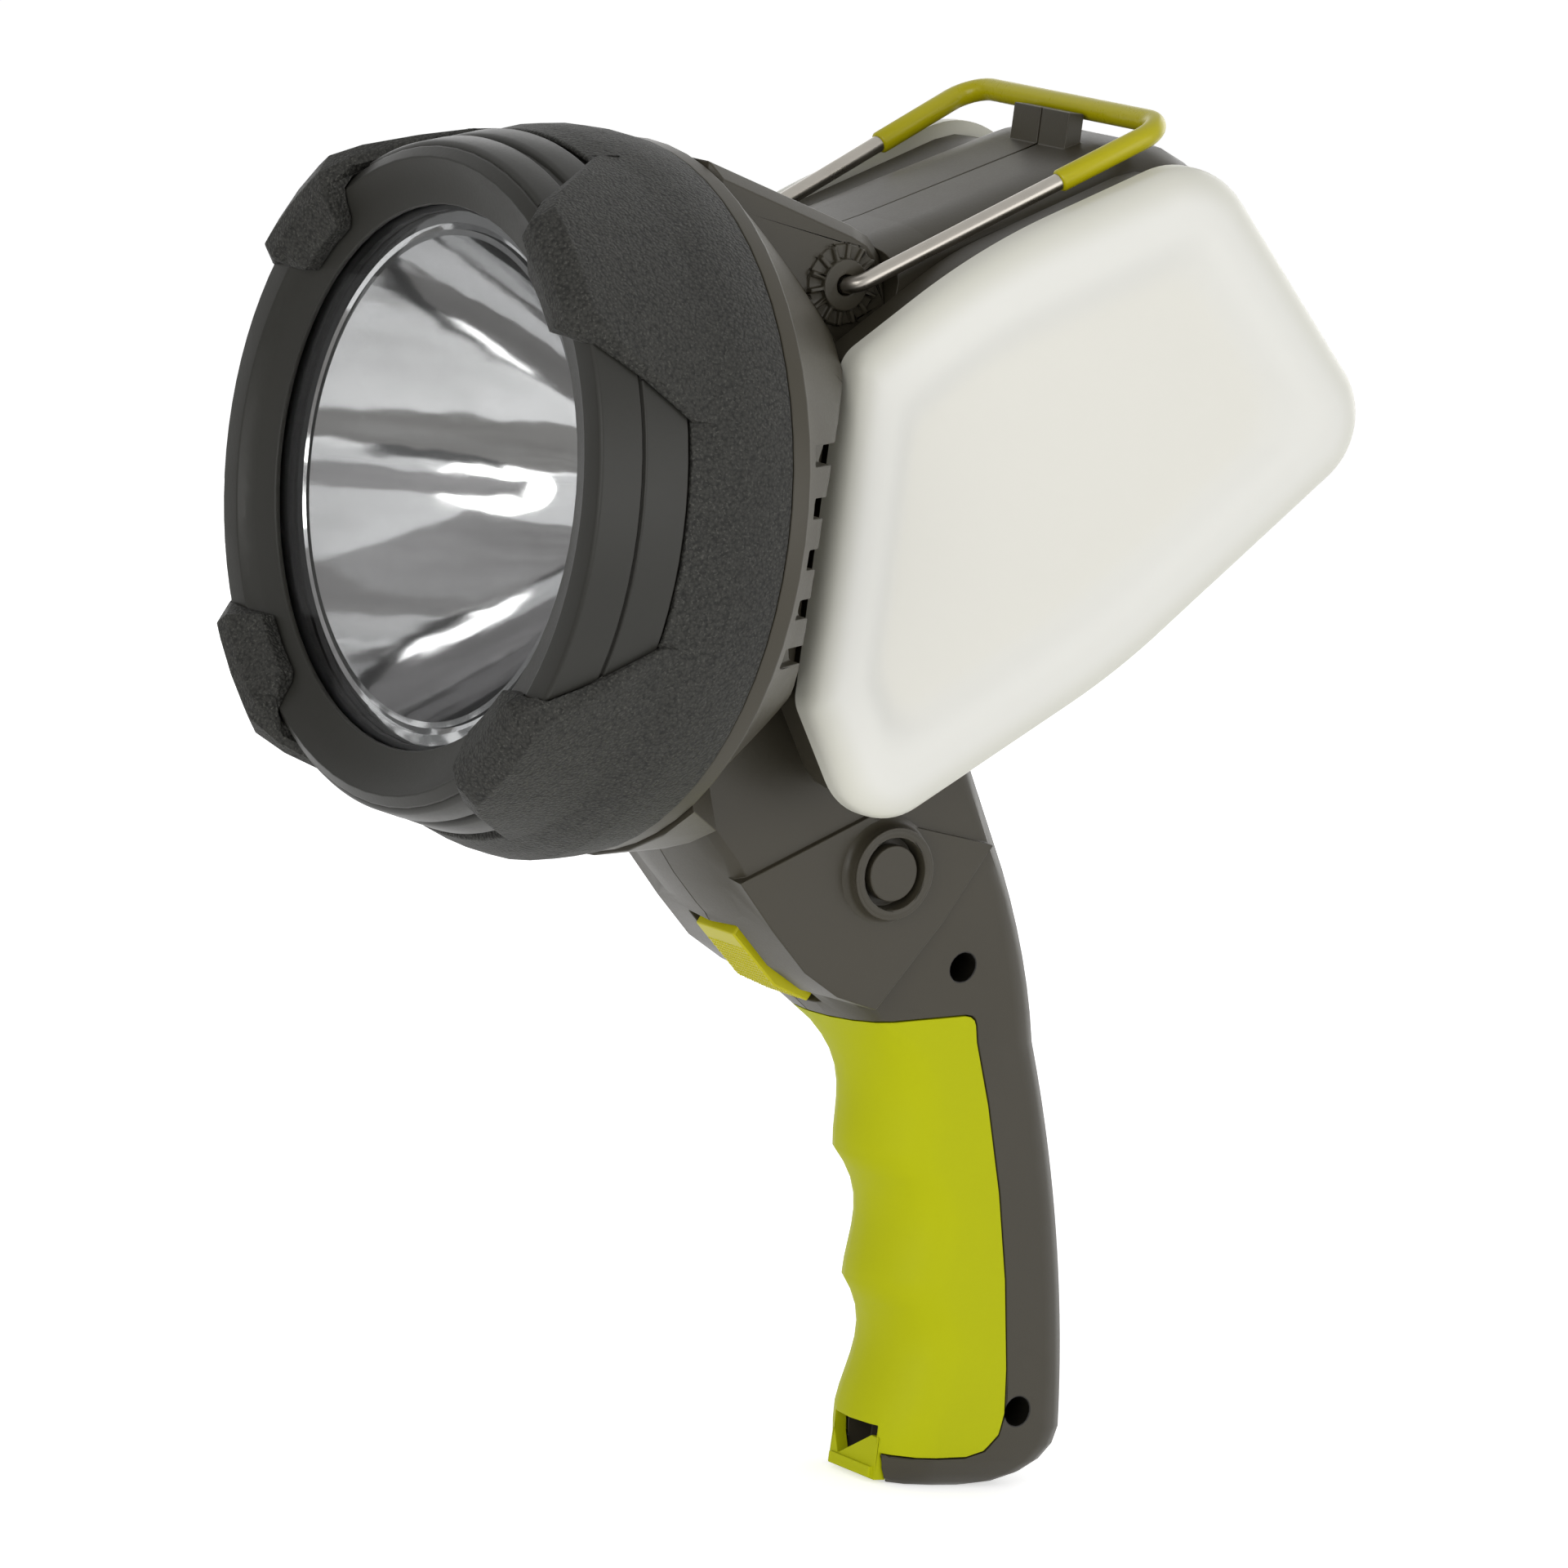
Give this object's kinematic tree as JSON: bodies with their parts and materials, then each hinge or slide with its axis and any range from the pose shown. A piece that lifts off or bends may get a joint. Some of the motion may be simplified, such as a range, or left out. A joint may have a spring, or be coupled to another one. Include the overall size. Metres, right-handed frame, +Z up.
{
  "type": "handheld searchlight",
  "caption": "Pistol-grip searchlight with a wide spot lamp, rubber guard with claws, a milky area light on each flank, a trigger, a side button and a swinging wire hook.",
  "frame": {"origin": "middle of the grip, halfway between its front and back and between its top and foot, in the plane where the two housing halves meet", "axes": "+Z up, along the grip towards the head; the spot lamp shines along -Y; +X is the side of the lamp that carries the mode button"},
  "size_m": [0.134, 0.1938, 0.2685],
  "materials": {
    "housing_grey": "finely grained moulded plastic, matt",
    "head_grey": "smooth moulded plastic, satin",
    "rubber_black": "fine grained moulded rubber, matt",
    "gasket_black": "smooth rubber",
    "clear_lens": "clear, polished",
    "chrome": "vacuum metallised, mirror bright",
    "board_white": "white solder mask",
    "emitter_yellow": "yellow phosphor under a clear dome",
    "aluminium": "bare, machined",
    "grip_lime": "soft moulded grip, satin",
    "milky_diffuser": "milky translucent plastic, satin",
    "cell_blue": "metal can in a blue film",
    "switch_black": "plain moulded plastic",
    "steel": "drawn stainless wire, brushed",
    "sleeve_olive": "smooth soft plastic tube",
    "board_green": "green solder mask",
    "trigger_yellow": "smooth moulded plastic",
    "screw_steel": "blackened steel"
  },
  "bodies": {
    "lamp": {"head_housing": "housing_grey", "bezel_ring": "head_grey", "rubber_guard": "rubber_black", "lens": "clear_lens", "lens_gasket": "gasket_black", "reflector": "chrome", "led_board": "board_white", "led_emitter": "emitter_yellow", "heat_sink": "aluminium", "housing_right": "housing_grey", "housing_left": "housing_grey", "grip_overmould": "grip_lime", "light_tray_right": "housing_grey", "light_tray_left": "housing_grey", "area_diffuser_right": "milky_diffuser", "area_diffuser_left": "milky_diffuser", "area_board_right": "board_white", "area_board_left": "board_white", "battery_cell_right": "cell_blue", "battery_cell_left": "cell_blue", "battery_holder": "switch_black", "tact_switch": "switch_black", "control_board": "board_green", "trigger_switch": "switch_black", "charge_socket": "switch_black", "housing_screw_upper": "screw_steel", "housing_screw_lower": "screw_steel", "housing_screw_rear": "screw_steel", "housing_screw_front": "screw_steel"},
    "hook": {"hook_wire": "steel", "hook_sleeve": "sleeve_olive"},
    "trigger_piece": {"trigger": "trigger_yellow"},
    "button_piece": {"mode_button": "housing_grey"},
    "flap": {"charge_flap": "rubber_black"}
  },
  "joints": [
    {"name": "hook_swing", "type": "hinge", "parent": "lamp", "child": "hook", "pos_m": [0, -0.0706, 0.1814], "axis": [1, 0, 0], "range_deg": [0, 110]},
    {"name": "trigger_press", "type": "slide", "parent": "lamp", "child": "trigger_piece", "axis": [0, 0.5374, 0.8433], "range_m": [0, 0.002], "stiffness_N_per_m": 600, "springref_m": -0.003},
    {"name": "button_press", "type": "slide", "parent": "lamp", "child": "button_piece", "axis": [-1, 0, 0], "range_m": [0, 0.001], "stiffness_N_per_m": 1200, "springref_m": -0.0012},
    {"name": "flap_open", "type": "hinge", "parent": "lamp", "child": "flap", "pos_m": [0, 0.01604, 0.1344], "axis": [1, 0, 0], "range_deg": [0, 80]}
  ]
}
